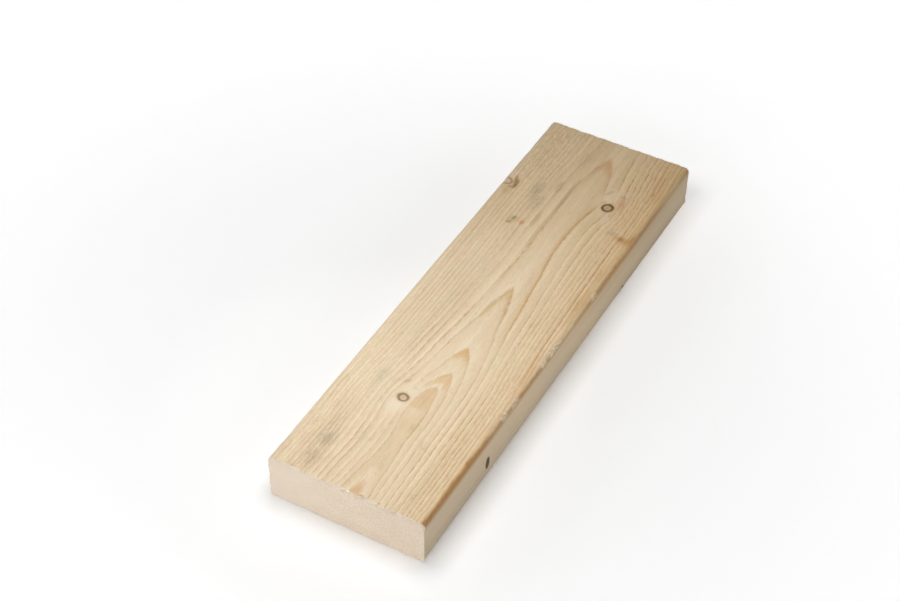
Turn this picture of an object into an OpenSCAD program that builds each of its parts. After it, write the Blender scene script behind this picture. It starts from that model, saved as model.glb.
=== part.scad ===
// Planed softwood plank: one sawn length of 45 x 145 mm structural timber.
// The four long edges are eased by the planer; both ends are square saw cuts.
// Frame: X across the width, Y along the grain, Z up.
// Origin at the middle of the underside, so the plank lies on z = 0.
// Lengths are in millimetres.

/* [Section] */
// Width of the planed section, across the grain
plank_w = 145; // [70:1:220]
// Thickness of the planed section
plank_t = 45; // [25:1:70]
// Radius of the four eased long edges
edge_r = 5; // [1:0.5:10]

/* [Length] */
// Cut length, along the grain
plank_l = 500; // [200:10:6000]

/* [Hidden] */

// Pale planed spruce
timber_colour = [0.86, 0.76, 0.60];

// Fineness of the edge rounding
$fn = 96;

// Planed section: a rectangle whose four corners are quarter rounds of radius r
module eased_section(w, t, r) {
    square([w, t - 2 * r], center = true);
    square([w - 2 * r, t], center = true);
    for (sx = [-1, 1], sz = [-1, 1])
        translate([sx * (w / 2 - r), sz * (t / 2 - r)])
            circle(r = r);
}

// The plank: the section run along Y and cut square at both ends
module plank() {
    color(timber_colour)
        translate([0, plank_l / 2, plank_t / 2])
            rotate([90, 0, 0])
                linear_extrude(height = plank_l)
                    eased_section(plank_w, plank_t, edge_r);
}

plank();
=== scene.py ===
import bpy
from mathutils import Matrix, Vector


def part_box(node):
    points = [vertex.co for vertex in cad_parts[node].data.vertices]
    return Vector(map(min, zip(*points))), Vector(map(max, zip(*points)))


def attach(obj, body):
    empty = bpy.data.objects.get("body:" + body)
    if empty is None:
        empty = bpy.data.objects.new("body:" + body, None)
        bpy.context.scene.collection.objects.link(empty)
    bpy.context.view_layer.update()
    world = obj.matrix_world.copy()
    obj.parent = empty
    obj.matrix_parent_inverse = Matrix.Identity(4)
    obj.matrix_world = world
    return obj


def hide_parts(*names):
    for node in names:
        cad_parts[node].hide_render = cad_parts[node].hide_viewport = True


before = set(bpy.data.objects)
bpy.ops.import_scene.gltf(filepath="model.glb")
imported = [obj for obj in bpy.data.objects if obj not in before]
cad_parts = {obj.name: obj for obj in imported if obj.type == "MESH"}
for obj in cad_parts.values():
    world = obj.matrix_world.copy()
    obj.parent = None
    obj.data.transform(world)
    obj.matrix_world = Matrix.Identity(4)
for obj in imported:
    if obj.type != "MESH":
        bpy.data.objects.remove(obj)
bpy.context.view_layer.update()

import math

import bpy
import numpy as np
from mathutils import Matrix, Vector

# ---------------------------------------------------------------------------
# Sizes, in millimetres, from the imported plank. X across, Y along the grain.
# ---------------------------------------------------------------------------
LO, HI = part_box("plank")
W = (HI.x - LO.x) * 1000.0
L = (HI.y - LO.y) * 1000.0
T = (HI.z - LO.z) * 1000.0
EDGE_R = 5.0
HX, HY = W / 2.0, L / 2.0
MM = 0.001

# ---------------------------------------------------------------------------
# Noise: seeded lattice noise, so that every run gives the same plank
# ---------------------------------------------------------------------------


def lattice(ix, iy, iz, seed):
    h = (
        ix.astype(np.int64) * 374761393
        + iy.astype(np.int64) * 668265263
        + iz.astype(np.int64) * 2147483647
        + seed * 1274126177
    ) & 0xFFFFFFFF
    h = ((h ^ (h >> 13)) * 1274126177) & 0xFFFFFFFF
    h = ((h ^ (h >> 16)) * 2246822519) & 0xFFFFFFFF
    h = h ^ (h >> 15)
    return h.astype(np.float64) / 4294967295.0


def noise3(p, seed):
    """Smooth noise from -1 to 1 at points p, of shape (n, 3), one lattice cell a unit."""
    i = np.floor(p).astype(np.int64)
    f = p - i
    f = f * f * f * (f * (f * 6 - 15) + 10)
    out = np.zeros(len(p))
    for dx in (0, 1):
        for dy in (0, 1):
            for dz in (0, 1):
                w = (
                    (f[:, 0] if dx else 1 - f[:, 0])
                    * (f[:, 1] if dy else 1 - f[:, 1])
                    * (f[:, 2] if dz else 1 - f[:, 2])
                )
                out += w * lattice(i[:, 0] + dx, i[:, 1] + dy, i[:, 2] + dz, seed)
    return out * 2 - 1


def fbm(p, seed, octaves=3):
    total, amp, norm = np.zeros(len(p)), 1.0, 0.0
    for o in range(octaves):
        total += amp * noise3(p * (2.0**o), seed + 17 * o)
        norm += amp
        amp *= 0.5
    return total / norm


def step01(a, b, x):
    """Smooth step from 0 at a to 1 at b; a may be above b."""
    t = np.clip((x - a) / (b - a), 0, 1)
    return t * t * (3 - 2 * t)


def along(table, y, blur=26.0):
    """A table of (y, value) as a smooth curve."""
    ys = np.arange(-HY - 60, HY + 60.5, 1.0)
    a = np.array(table, float)
    v = np.interp(ys, a[:, 0], a[:, 1])
    n = int(blur) | 1
    k = np.hanning(n + 2)[1:-1]
    v = np.convolve(np.pad(v, n // 2, mode="edge"), k / k.sum(), mode="valid")
    return np.interp(y, ys, v)


# ---------------------------------------------------------------------------
# The tree that the plank was cut from: growth rings round a pith below the
# underside, and two whorls of branches that show as knots.
# ---------------------------------------------------------------------------
R_REF = math.sqrt(4000.0)
# How far the pith's distance below the upper face, squared, differs from R_REF squared
PITH_DEPTH = [
    (-250, -1180), (-225, -1131), (-200, -1077), (-178, -1053), (-150, -1082),
    (-130, -1036), (-110, -931), (-90, -815), (-60, -650), (-30, -469), (0, -388),
    (30, -292), (70, -187), (120, -165), (170, -180), (200, -106), (225, 8), (250, 60),
]
PITH_X = [
    (-250, 7.4), (-200, 8.7), (-150, 7.3), (-100, 8.8), (-50, 7.4), (0, 6.4),
    (50, 4.8), (100, 2.9), (150, 3.2), (200, 3.4), (250, 2.0),
]
# Outer radius of each ring, the share of it that is dark late wood, and how plain its line is, pith outwards
RINGS = [
    (4.4, 0.22, 0.7), (8.9, 0.20, 0.5), (13.1, 0.24, 0.8), (17.5, 0.20, 0.55), (21.4, 0.25, 0.8), (25.6, 0.21, 0.6),
    (29.3, 0.26, 0.8), (33.2, 0.22, 0.6), (36.7, 0.27, 0.8), (40.3, 0.24, 0.55), (43.6, 0.28, 0.8), (46.9, 0.25, 0.6),
    (50.1, 0.26, 0.7), (53.42, 0.24, 0.60), (54.75, 0.22, 0.72), (56.0, 0.24, 0.66), (57.75, 0.20, 0.76),
    (60.75, 0.14, 0.90), (63.25, 0.17, 0.95), (66.61, 0.15, 0.76), (69.7, 0.17, 0.85), (72.2, 0.20, 0.70),
    (74.4, 0.24, 0.82), (76.9, 0.22, 0.64), (79.2, 0.25, 0.80), (82.6, 0.36, 0.66), (84.8, 0.24, 0.80),
    (87.7, 0.22, 0.46), (90.9, 0.24, 0.80), (94.1, 0.22, 0.50), (97.5, 0.24, 0.75), (101.0, 0.23, 0.52),
    (104.7, 0.24, 0.75), (108.6, 0.23, 0.55), (113.0, 0.24, 0.75), (118.0, 0.24, 0.6), (124.0, 0.24, 0.7),
]
LATE_FROM = 0.70  # where late wood starts in the ring count's fraction
RADII = [radius for radius, share, plain in RINGS]
STRONG_RING = RADII.index(82.6)
# Arches of late wood that close on the upper face: ring radius, where the tint starts in the
# ring's fraction, where it starts along the grain and over what length, where it ends, tint, strength
TIPS = [
    (53.42, 0.10, -266, 4, -229, (223, 184, 130), 0.50), (54.75, -9.0, -147.5, 5, -116, (221, 188, 142), 0.50),
    (56.0, 0.30, -124, 18, -90, (222, 184, 130), 0.56), (57.75, 0.52, -86, 18, -55, (219, 176, 114), 0.70),
    (60.75, 0.50, -4, 26, 33, (211, 176, 122), 0.68), (63.25, 0.64, 191, 16, 230, (216, 170, 134), 0.56),
]


def ring_scale():
    radius, count, inner = [0.0], [0.0], 0.0
    for n, (outer, share, plain) in enumerate(RINGS):
        radius += [outer - share * (outer - inner), outer]
        count += [n + LATE_FROM, n + 1.0]
        inner = outer
    return radius, count


RING_RADIUS, RING_COUNT = ring_scale()

# name, where it meets a face, semi-axis along the grain, semi-axis across, darkness
KNOTS = [
    ("upper_near", (-11.5, -139.0, 45.0), 4.9, 5.2, 0.80),
    ("upper_far", (30.5, 160.2, 45.0), 6.0, 5.4, 1.00),
    ("upper_left_edge", (-67.6, 149.0, 43.6), 5.2, 4.6, 0.85),
    ("right_edge", (72.5, -146.0, 17.0), 3.3, 6.0, 1.15),
    ("right_edge_pin", (72.3, 110.0, 3.6), 2.5, 3.6, 1.10),
    ("left_edge", (-72.5, -129.0, 24.0), 3.4, 4.0, 0.95),
]


def pith_at(y):
    depth = np.sqrt(R_REF**2 + along(PITH_DEPTH, y))
    return along(PITH_X, y), T - depth


def unit(v):
    v = np.asarray(v, float)
    return v / np.linalg.norm(v)


def knot_axes():
    """Each branch runs from the pith out to its face and leans towards the tree's top."""
    out = []
    for name, q, ra, rb, dark in KNOTS:
        q = np.array(q)
        y0 = q[1]
        px, pz = pith_at(np.array([y0]))
        span = math.hypot(q[0] - px[0], q[2] - pz[0])
        root = np.array([px[0], y0 - 0.16 * span, pz[0]])
        axis = unit(q - root)
        grain = unit(np.array([0, 1.0, 0]) - axis[1] * axis)
        cross = np.cross(axis, grain)
        out.append((name, q, axis, grain, cross, ra, rb, float(np.linalg.norm(q - root)), dark))
    return out


KNOT_AXES = knot_axes()


def knot_near(p, k):
    """Distance from a knot's axis, in knot radii, and the two offsets behind it in mm."""
    name, q, axis, grain, cross, ra, rb, span, dark = k
    d = p - q
    s = d @ axis
    a, b = d @ grain, d @ cross
    taper = np.sqrt(np.clip((s + span) / span, 0.06, 1.3))
    return np.sqrt((a / ra) ** 2 + (b / rb) ** 2) / taper, a, b, taper


# Where the rings swell outwards beside a branch: place, how far, half sizes across and along
SWELLS = [
    (32.0, 160.0, 5.0, 15.0, 24.0), (-17.0, -140.0, -2.4, 11.0, 20.0), (10.0, -135.0, -3.2, 9.0, 22.0),
    (9.0, -95.0, 1.5, 10.0, 14.0),
]
# How far the right-hand strip's rings lie to the right of the tree's even rings
STRIP_DRIFT = [(-250, 0), (-110, -0.9), (-45, -1.1), (0, -0.7), (40, 0.8), (70, 1.8), (95, 2.2), (140, 1.4), (250, 0)]


def ring_count(p):
    """How many rings lie between the pith and each point, with the grain bent round the knots."""
    bent = p.copy()
    for k in KNOT_AXES:
        name, q, axis, grain, cross, ra, rb, span, dark = k
        u, a, b, taper = knot_near(p, k)
        size = rb * taper
        r2 = (b / size) ** 2 + (a / (2.9 * size)) ** 2
        bent -= np.outer(b * (1.5 / (r2 + 0.7)) * step01(7.5, 2.0, np.sqrt(r2)), cross)
    for x, y, by, rx, ry in SWELLS:
        near = np.exp(-(((p[:, 0] - x) / rx) ** 2) - ((p[:, 1] - y) / ry) ** 2)
        bent[:, 0] -= by * near * step01(T - 42, T - 6, p[:, 2])
    bent[:, 0] -= along(STRIP_DRIFT, p[:, 1]) * step01(30, 52, p[:, 0]) * step01(T - 40, T - 8, p[:, 2])
    wob = np.stack([bent[:, 0] / 34, bent[:, 1] / 170, bent[:, 2] / 34], 1)
    fine = np.stack([bent[:, 0] / 11, bent[:, 1] / 75, bent[:, 2] / 11], 1)
    cx, cz = pith_at(bent[:, 1])
    x = bent[:, 0] - cx + 0.7 * noise3(wob, 11) + 0.28 * noise3(fine, 23)
    z = bent[:, 2] - cz
    ax = np.sqrt(x * x + 0.16) - 0.4
    point = 9.0 * ax * np.exp(-ax / 6.0) * step01(10, 40, z) * (0.1 + 0.9 * step01(-124, -102, bent[:, 1]))
    rho = np.sqrt(x * x + point + z * z)
    return np.interp(rho, RING_RADIUS, RING_COUNT)


# ---------------------------------------------------------------------------
# The mesh: six grids that share their edges, so the plank is one closed skin
# ---------------------------------------------------------------------------
NA = 4  # cells in half of a rounded edge
NXF, NZF = 125, 32  # cells across the flat of a wide face and of a long edge
NX, NZ = NXF + 2 * NA, NZF + 2 * NA
NY = 252
PER = 2 * (NX + NZ)

# Torn spots on the right upper edge: middle, half length, depth, all mm
TEARS = [
    (-25.0, 13.0, 1.15), (-45.0, 6.0, 0.80), (-116.0, 6.0, 0.85), (49.0, 7.0, 0.70), (-99.0, 12.0, 0.58),
]


def stations():
    y = np.linspace(-HY, HY, 8001)
    e = HY - np.abs(y)
    d = np.full_like(y, 1 / 3.0)
    d = np.maximum(d, 1 / (0.42 + 0.20 * e))
    for mid in (-140.0, 156.0):
        d = np.maximum(d, 1 / (1.15 + 1.9 * step01(9, 18, np.abs(y - mid))))
    for mid, half, depth in TEARS:
        d = np.maximum(d, 1 / (1.05 + 2.0 * step01(half * 0.9, half + 4, np.abs(y - mid))))
    c = np.concatenate([[0], np.cumsum((d[1:] + d[:-1]) / 2 * np.diff(y))])
    return np.interp(np.linspace(0, c[-1], NY + 1), c, y)


def section():
    """The rounded section's outline: place (x, z), outward normal, and distance along each side."""
    fx = np.linspace(-(HX - EDGE_R), HX - EDGE_R, NXF + 1)
    fz = np.linspace(EDGE_R, T - EDGE_R, NZF + 1)

    def wide(i, top):
        if NA <= i <= NX - NA:
            return fx[i - NA], (T if top else 0.0), 0.0, (1.0 if top else -1.0)
        left = i < NA
        t = (NA - i) / NA if left else (i - (NX - NA)) / NA
        a = math.radians(45 * t)
        nx, nz = (-1 if left else 1) * math.sin(a), (1 if top else -1) * math.cos(a)
        cx = (-1 if left else 1) * (HX - EDGE_R)
        cz = T - EDGE_R if top else EDGE_R
        return cx + EDGE_R * nx, cz + EDGE_R * nz, nx, nz

    def narrow(k, right):
        s = 1 if right else -1
        if NA <= k <= NZ - NA:
            return s * HX, fz[k - NA], s, 0.0
        low = k < NA
        t = (NA - k) / NA if low else (k - (NZ - NA)) / NA
        a = math.radians(45 * t)
        nx, nz = s * math.cos(a), (-1 if low else 1) * math.sin(a)
        cx = s * (HX - EDGE_R)
        cz = EDGE_R if low else T - EDGE_R
        return cx + EDGE_R * nx, cz + EDGE_R * nz, nx, nz

    rows = (
        [wide(i, False) for i in range(NX)]
        + [narrow(k, True) for k in range(NZ)]
        + [wide(i, True) for i in range(NX, 0, -1)]
        + [narrow(k, False) for k in range(NZ, 0, -1)]
    )
    return np.array(rows)


def rim(i, k):
    if k == 0:
        return i
    if i == NX:
        return NX + k
    if k == NZ:
        return NX + NZ + NX - i
    return (2 * NX + NZ + NZ - k) % PER


SEC = section()
YS = stations()
RIM_COUNT = (NY + 1) * PER
CAP = (NX - 1) * (NZ - 1)

rim_grid = np.array([[rim(i, k) if i in (0, NX) or k in (0, NZ) else -1 for k in range(NZ + 1)] for i in range(NX + 1)])


def coons(edge):
    """Fills the section from its outline: edge holds (x, z) by outline index."""
    u = np.linspace(0, 1, NX + 1)[:, None, None]
    v = np.linspace(0, 1, NZ + 1)[None, :, None]
    bottom, top = edge[rim_grid[:, 0]][:, None], edge[rim_grid[:, NZ]][:, None]
    left, right = edge[rim_grid[0]][None], edge[rim_grid[NX]][None]
    c00, c10 = edge[rim_grid[0, 0]], edge[rim_grid[NX, 0]]
    c01, c11 = edge[rim_grid[0, NZ]], edge[rim_grid[NX, NZ]]
    return (
        (1 - v) * bottom + v * top + (1 - u) * left + u * right
        - ((1 - u) * (1 - v) * c00 + u * (1 - v) * c10 + (1 - u) * v * c01 + u * v * c11)
    )


cap_xz = coons(SEC[:, :2])[1:-1, 1:-1].reshape(-1, 2)

P = np.zeros((RIM_COUNT + 2 * CAP, 3))
NRM = np.zeros_like(P)
P[:RIM_COUNT, 0] = np.tile(SEC[:, 0], NY + 1)
P[:RIM_COUNT, 2] = np.tile(SEC[:, 1], NY + 1)
P[:RIM_COUNT, 1] = np.repeat(YS, PER)
NRM[:RIM_COUNT, 0] = np.tile(SEC[:, 2], NY + 1)
NRM[:RIM_COUNT, 2] = np.tile(SEC[:, 3], NY + 1)
for c, y in ((0, -HY), (1, HY)):
    a = RIM_COUNT + c * CAP
    P[a : a + CAP, 0], P[a : a + CAP, 2] = cap_xz[:, 0], cap_xz[:, 1]
    P[a : a + CAP, 1] = y
    NRM[a : a + CAP, 1] = -1.0 if c == 0 else 1.0

is_cap = np.zeros(len(P), bool)
is_cap[RIM_COUNT:] = True
RING = ring_count(P)
# How fast the rings go by across the surface, in rings a millimetre
STEP = 0.2
slope_x = np.abs(ring_count(P + [STEP, 0, 0]) - RING) / STEP
slope_z = np.abs(ring_count(P + [0, 0, STEP]) - RING) / STEP
SLOPE = np.where(is_cap, np.hypot(slope_x, slope_z), slope_x * np.abs(NRM[:, 2]) + slope_z * np.abs(NRM[:, 0]))

# ---------------------------------------------------------------------------
# Relief, all cut inwards from the planed size
# ---------------------------------------------------------------------------
sx, sz = NRM[:, 0], NRM[:, 2]
upper = np.clip(sz, 0, 1) * ~is_cap
under = np.clip(-sz, 0, 1) * ~is_cap
flank = np.abs(sx) * ~is_cap
from_end = HY - np.abs(P[:, 1])
arc = np.minimum(np.abs(sx), np.abs(sz)) * 1.4142 * ~is_cap  # 1 in the middle of a rounded edge

phase = RING - np.floor(RING)
ridge = (0.5 + 0.5 * np.cos(2 * np.pi * (phase - 0.9))) ** 2
grain_pts = np.stack([P[:, 0] / 1.9, P[:, 1] / 26, P[:, 2] / 1.9], 1)
fibre = noise3(grain_pts, 41)
depth = (0.105 * (1 - ridge)) * (upper + under + 0.7 * flank).clip(0, 1)
depth += 0.022 * (1 + fibre) * ~is_cap

# Planed flats are never quite true: long shallow hollows
slow = np.stack([P[:, 0] / 70, P[:, 1] / 190, P[:, 2] / 70], 1)
depth += 0.05 * (1 + noise3(slow, 57)) * ~is_cap

# Rounded edges bruised by handling
bruise = np.stack([P[:, 0] / 9, P[:, 1] / 17, P[:, 2] / 9], 1)
hit = step01(0.35, 0.85, noise3(bruise, 73))
depth += arc * (0.10 * (1 + noise3(bruise * 2.3, 79)) + 0.55 * hit)

# Torn fibre along the right upper edge
tear = np.zeros(len(P))
on_right_top = step01(0.10, 0.45, sx) * step01(0.10, 0.45, sz) * ~is_cap
for n, (mid, half, deep) in enumerate(TEARS):
    t = step01(1.0, 0.45, np.abs(P[:, 1] - mid) / half)
    rough = noise3(np.stack([P[:, 0] / 1.6, P[:, 1] / 3.4, P[:, 2] / 1.6], 1), 101 + n)
    lift = noise3(np.stack([P[:, 0] / 1.1, P[:, 1] / 2.0, P[:, 2] / 1.1], 1), 131 + n)
    depth += deep * on_right_top * t * (0.55 + 0.45 * rough) * (0.8 + 0.4 * lift)
    tear = np.maximum(tear, min(1.0, deep) ** 1.5 * on_right_top * t * np.clip(0.75 + 0.5 * rough, 0, 1))

# Knots: hard wood stands a little proud of a shrunken bark ring, with a drying check
knot_u = np.full(len(P), 9.0)
for k in KNOT_AXES:
    u, a, b, taper = knot_near(P, k)
    knot_u = np.minimum(knot_u, u)
    groove = np.exp(-(((u - 0.92) / 0.16) ** 2))
    body = step01(0.95, 0.6, u)
    check = np.exp(-((b / 0.6) ** 2)) * step01(0.75, 0.3, u)
    swell = np.exp(-(((u - 1.7) / 0.55) ** 2))
    depth += (0.24 * groove + 0.10 * body + 0.16 * check - 0.05 * swell) * ~is_cap

depth = np.clip(depth, 0, None)

# Saw-cut ends: faint slanting kerf lines, a slow wander of the blade, torn fibre ends
END_SLANT = math.radians(25)
ca, sa = math.cos(END_SLANT), math.sin(END_SLANT)
run, rise = P[:, 0] * ca + P[:, 2] * sa, -P[:, 0] * sa + P[:, 2] * ca
flip = np.where(P[:, 1] < 0, 0.0, 60.0)
kerf = noise3(np.stack([run / 80, rise / 2.8 + flip, flip], 1), 211)
wander = noise3(np.stack([P[:, 0] / 38, P[:, 2] / 30, flip], 1), 223)
fuzz = noise3(np.stack([P[:, 0] / 1.5, P[:, 2] / 1.5, flip], 1), 227)
end_cut = 0.020 * (1 + kerf) + 0.045 * (1 + wander) + 0.022 * (1 + fuzz)

# Chips out of the end arrises: place across, half width, depth along the grain, drop, which end
CHIPS = [
    (-51.0, 2.6, 2.4, 0.75, -1), (15.5, 4.2, 2.8, 0.95, -1), (0.5, 3.2, 1.5, 0.60, -1),
    (30.8, 1.8, 1.9, 0.75, -1), (-33.0, 2.2, 1.1, 0.40, -1), (46.0, 2.4, 1.2, 0.45, -1),
    (-60.0, 2.4, 1.5, 0.50, -1), (60.0, 3.0, 1.1, 0.40, -1), (-14.0, 2.2, 0.9, 0.35, -1),
    (-40.0, 3.0, 1.2, 0.28, 1), (12.0, 2.4, 1.0, 0.22, 1), (52.0, 3.2, 1.3, 0.30, 1),
    (-8.0, 2.0, 0.8, 0.18, 1), (33.0, 1.8, 0.9, 0.18, 1),
]
# Distance of each point of an end from the section's outline
qx = np.abs(P[:, 0]) - (HX - EDGE_R)
qz = np.abs(P[:, 2] - T / 2) - (T / 2 - EDGE_R)
from_rim = EDGE_R - np.hypot(np.maximum(qx, 0), np.maximum(qz, 0)) - np.minimum(np.maximum(qx, qz), 0)

edge_noise = np.stack([P[:, 0], P[:, 2], np.sign(P[:, 1]) * 5], 1)
ragged = 0.5 + 0.5 * noise3(edge_noise / [2.7, 2.7, 1], 241)
ragged2 = 0.5 + 0.5 * noise3(edge_noise / [1.25, 1.25, 1], 251)
chunks = 0.5 + 0.5 * noise3(edge_noise / [6.0, 6.0, 1], 261)
# Fibres broken off short at the saw's exit: the arris is a fine saw-tooth
broken = 0.06 + 1.20 * step01(0.40, 0.74, ragged) + 0.45 * ragged2**2 + 1.00 * step01(0.48, 0.57, chunks) + 0.12 * (1 - ridge)
broken *= np.where(P[:, 1] < 0, 1.20, 0.30) * (0.30 + 0.70 * step01(T - 6.0, T - 1.0, P[:, 2]))
# 0 round the corners of the section, where the wear is even
straight = step01(4.0, 10.0, np.maximum(HX - np.abs(P[:, 0]), np.minimum(P[:, 2], T - P[:, 2])))
arris = np.exp(-from_end / 0.6) * (0.12 + (0.36 * ragged**2 + 0.20 * ragged2) * (0.25 + 0.75 * straight))
depth += arris * ~is_cap
chipped = np.zeros(len(P))
for at, half, back, drop, end in CHIPS:
    here = (np.sign(P[:, 1]) == end) * step01(1.0, 0.35, np.abs(P[:, 0] - at) / half * (0.85 + 0.3 * ragged2))
    c = here * np.clip(1 - from_end / back, 0, 1) * upper
    depth += drop * c * (0.75 + 0.5 * ragged2)
    broken += 0.55 * drop * here * step01(T - 3.0, T - 0.5, P[:, 2])
    chipped = np.maximum(chipped, here * step01(back * 1.2, 0.0, from_end) * upper)
# Saw breakout along the lower arrises of both ends, but not round the corners
for seed, face in ((271, under), (281, flank)):
    n = noise3(np.stack([P[:, 0] / 6, P[:, 2] / 6, np.sign(P[:, 1]) * 9], 1), seed)
    b = step01(0.25, 0.8, n) * np.clip(1 - from_end / 2.0, 0, 1) * face * straight
    depth += 0.4 * b
    chipped = np.maximum(chipped, b)

Q = P - NRM * depth[:, None]
inward = np.where(P[:, 1] < 0, 1.0, -1.0)
at_end = is_cap | (from_end < 1e-6)
Q[at_end, 1] += (inward * end_cut)[at_end]
# The broken fibres move the rim inwards, and what is beside it less and less
share = np.where(is_cap, np.exp(-from_rim / 0.9), np.clip(1 - from_end / 12.0, 0, 1) ** 2)
Q[:, 1] += inward * broken * share
# The end skin follows its lowered rim, a little inside it so that it never folds at a corner
middle = np.array([0.0, T / 2])
for c, row in ((0, 0), (1, NY)):
    edge = Q[row * PER : (row + 1) * PER][:, [0, 2]]
    a = RIM_COUNT + c * CAP
    filled = middle + (coons(edge)[1:-1, 1:-1].reshape(-1, 2) - middle) * [0.991, 0.976]
    Q[a : a + CAP, 0], Q[a : a + CAP, 2] = filled[:, 0], filled[:, 1]
lo = np.array([-HX, -HY, 0.0])
hi = np.array([HX, HY, T])
Q = np.clip(Q, lo, hi)

# ---------------------------------------------------------------------------
# Faces and the texture map
# ---------------------------------------------------------------------------
j, m = np.meshgrid(np.arange(NY), np.arange(PER), indexing="ij")
j, m = j.ravel(), m.ravel()
m2 = (m + 1) % PER
long_faces = np.stack([j * PER + m, (j + 1) * PER + m, (j + 1) * PER + m2, j * PER + m2], 1)
group = np.where(m < NX, 0, np.where(m < NX + NZ, 1, np.where(m < 2 * NX + NZ, 2, 3)))


def cap_index(i, k, c):
    if i in (0, NX) or k in (0, NZ):
        return rim(i, k) + (NY * PER if c else 0)
    return RIM_COUNT + c * CAP + (i - 1) * (NZ - 1) + (k - 1)


cap_faces, cap_cells = [], []
for c in (0, 1):
    for i in range(NX):
        for k in range(NZ):
            q = [(i, k), (i + 1, k), (i + 1, k + 1), (i, k + 1)]
            if c:
                q = q[::-1]
            cap_faces.append([cap_index(a, b, c) for a, b in q])
            cap_cells.append([(c, a, b) for a, b in q])
faces = np.concatenate([long_faces, np.array(cap_faces)])

mesh = bpy.data.meshes.new("plank_skin")
mesh.vertices.add(len(Q))
mesh.vertices.foreach_set("co", (Q * MM).astype(np.float32).ravel())
mesh.loops.add(faces.size)
mesh.loops.foreach_set("vertex_index", faces.astype(np.int32).ravel())
mesh.polygons.add(len(faces))
mesh.polygons.foreach_set("loop_start", np.arange(0, faces.size, 4, dtype=np.int32))
mesh.polygons.foreach_set("loop_total", np.full(len(faces), 4, np.int32))
mesh.polygons.foreach_set("use_smooth", np.ones(len(faces), bool))
mesh.update(calc_edges=True)
mesh.validate()

# Texture map: the wide faces side by side, then the long edges, then both ends in a column
side_s = np.concatenate([[0], np.cumsum(np.hypot(*np.diff(np.vstack([SEC[:, :2], SEC[:1, :2]]), axis=0).T))])
strips = {  # first outline index, last, left side of the strip, its width
    2: (NX + NZ, 2 * NX + NZ, 0.004, 0.400),
    0: (0, NX, 0.410, 0.270),
    1: (NX, NX + NZ, 0.686, 0.098),
    3: (2 * NX + NZ, PER, 0.790, 0.098),
}
v_of = 0.004 + 0.992 * (YS + HY) / L
uv = np.zeros((faces.size, 2), np.float32)
corner_m = np.stack([m, m, m + 1, m + 1], 1)
corner_j = np.stack([j, j + 1, j + 1, j], 1)
for g, (a, b, left, width) in strips.items():
    sel = group == g
    s = (side_s[corner_m[sel]] - side_s[a]) / (side_s[b] - side_s[a])
    u = left + width * s
    rows = np.nonzero(sel)[0]
    block = np.stack([u, v_of[corner_j[sel]]], -1)
    uv.reshape(-1, 4, 2)[rows] = block
cells = np.array(cap_cells)
u = 0.894 + 0.100 * cells[..., 2] / NZ
v = 0.010 + 0.420 * cells[..., 1] / NX + 0.480 * cells[..., 0]
uv.reshape(-1, 4, 2)[len(long_faces) :] = np.stack([u, v], -1)
layer = mesh.uv_layers.new(name="OFBake")
layer.data.foreach_set("uv", uv.ravel())

# ---------------------------------------------------------------------------
# Slow colour fields, kept on the mesh
# ---------------------------------------------------------------------------


def spot(x, y, rx, ry, seed, face, ragged_by=0.45):
    """A soft patch on one face, drawn out along the grain."""
    d = np.hypot((P[:, 0] - x) / rx, (P[:, 1] - y) / ry)
    n = fbm(np.stack([P[:, 0] / 3.5, P[:, 1] / 13, P[:, 2] / 3.5], 1), seed, 3)
    return step01(1.25, 0.15, d + ragged_by * n) * face


grey = np.zeros(len(P))
for n, (x, y, rx, ry, amount) in enumerate([
    (-41.5, -208.0, 8.5, 12.0, 0.54), (-46.0, -195.0, 3.0, 12.0, 0.38), (-41.0, -232.0, 7.0, 12.0, 0.44), (-40.0, -128.0, 5.0, 18.0, 0.20),
    (-37.0, 150.0, 6.0, 17.0, 0.46), (-21.0, 164.0, 4.0, 9.0, 0.42), (-30.0, 135.0, 8.0, 14.0, 0.36),
    (-17.0, 213.0, 6.0, 14.0, 0.22), (-32.0, -8.0, 6.0, 16.0, 0.14), (49.0, 131.0, 5.0, 5.0, 0.40),
]):
    grey = np.maximum(grey, amount * spot(x, y, rx, ry, 301 + n, upper))
grey = np.maximum(grey, 0.55 * spot(24.0, 60.0, 9.0, 34.0, 331, under))
grey = np.maximum(grey, 0.40 * spot(-48.0, -120.0, 7.0, 26.0, 332, under))

orange = np.zeros(len(P))
for n, (x, y, rx, ry, amount) in enumerate([
    (64.0, 126.0, 8.0, 7.0, 0.42), (8.5, -245.0, 4.5, 8.0, 0.22), (14.0, -164.0, 4.0, 6.0, 0.35),
    (3.5, -133.0, 8.0, 15.0, 0.25), (66.0, 28.0, 6.0, 24.0, 0.45), (65.0, -62.0, 5.0, 34.0, 0.32),
    (4.0, 214.0, 9.0, 13.0, 0.12), (60.0, 205.0, 8.0, 26.0, 0.35), (64.0, 75.0, 5.0, 20.0, 0.30),
]):
    orange = np.maximum(orange, amount * spot(x, y, rx, ry, 351 + n, upper, 0.30))
orange = np.maximum(orange, 0.6 * spot(-36.0, -30.0, 5.0, 30.0, 371, under))

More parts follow.
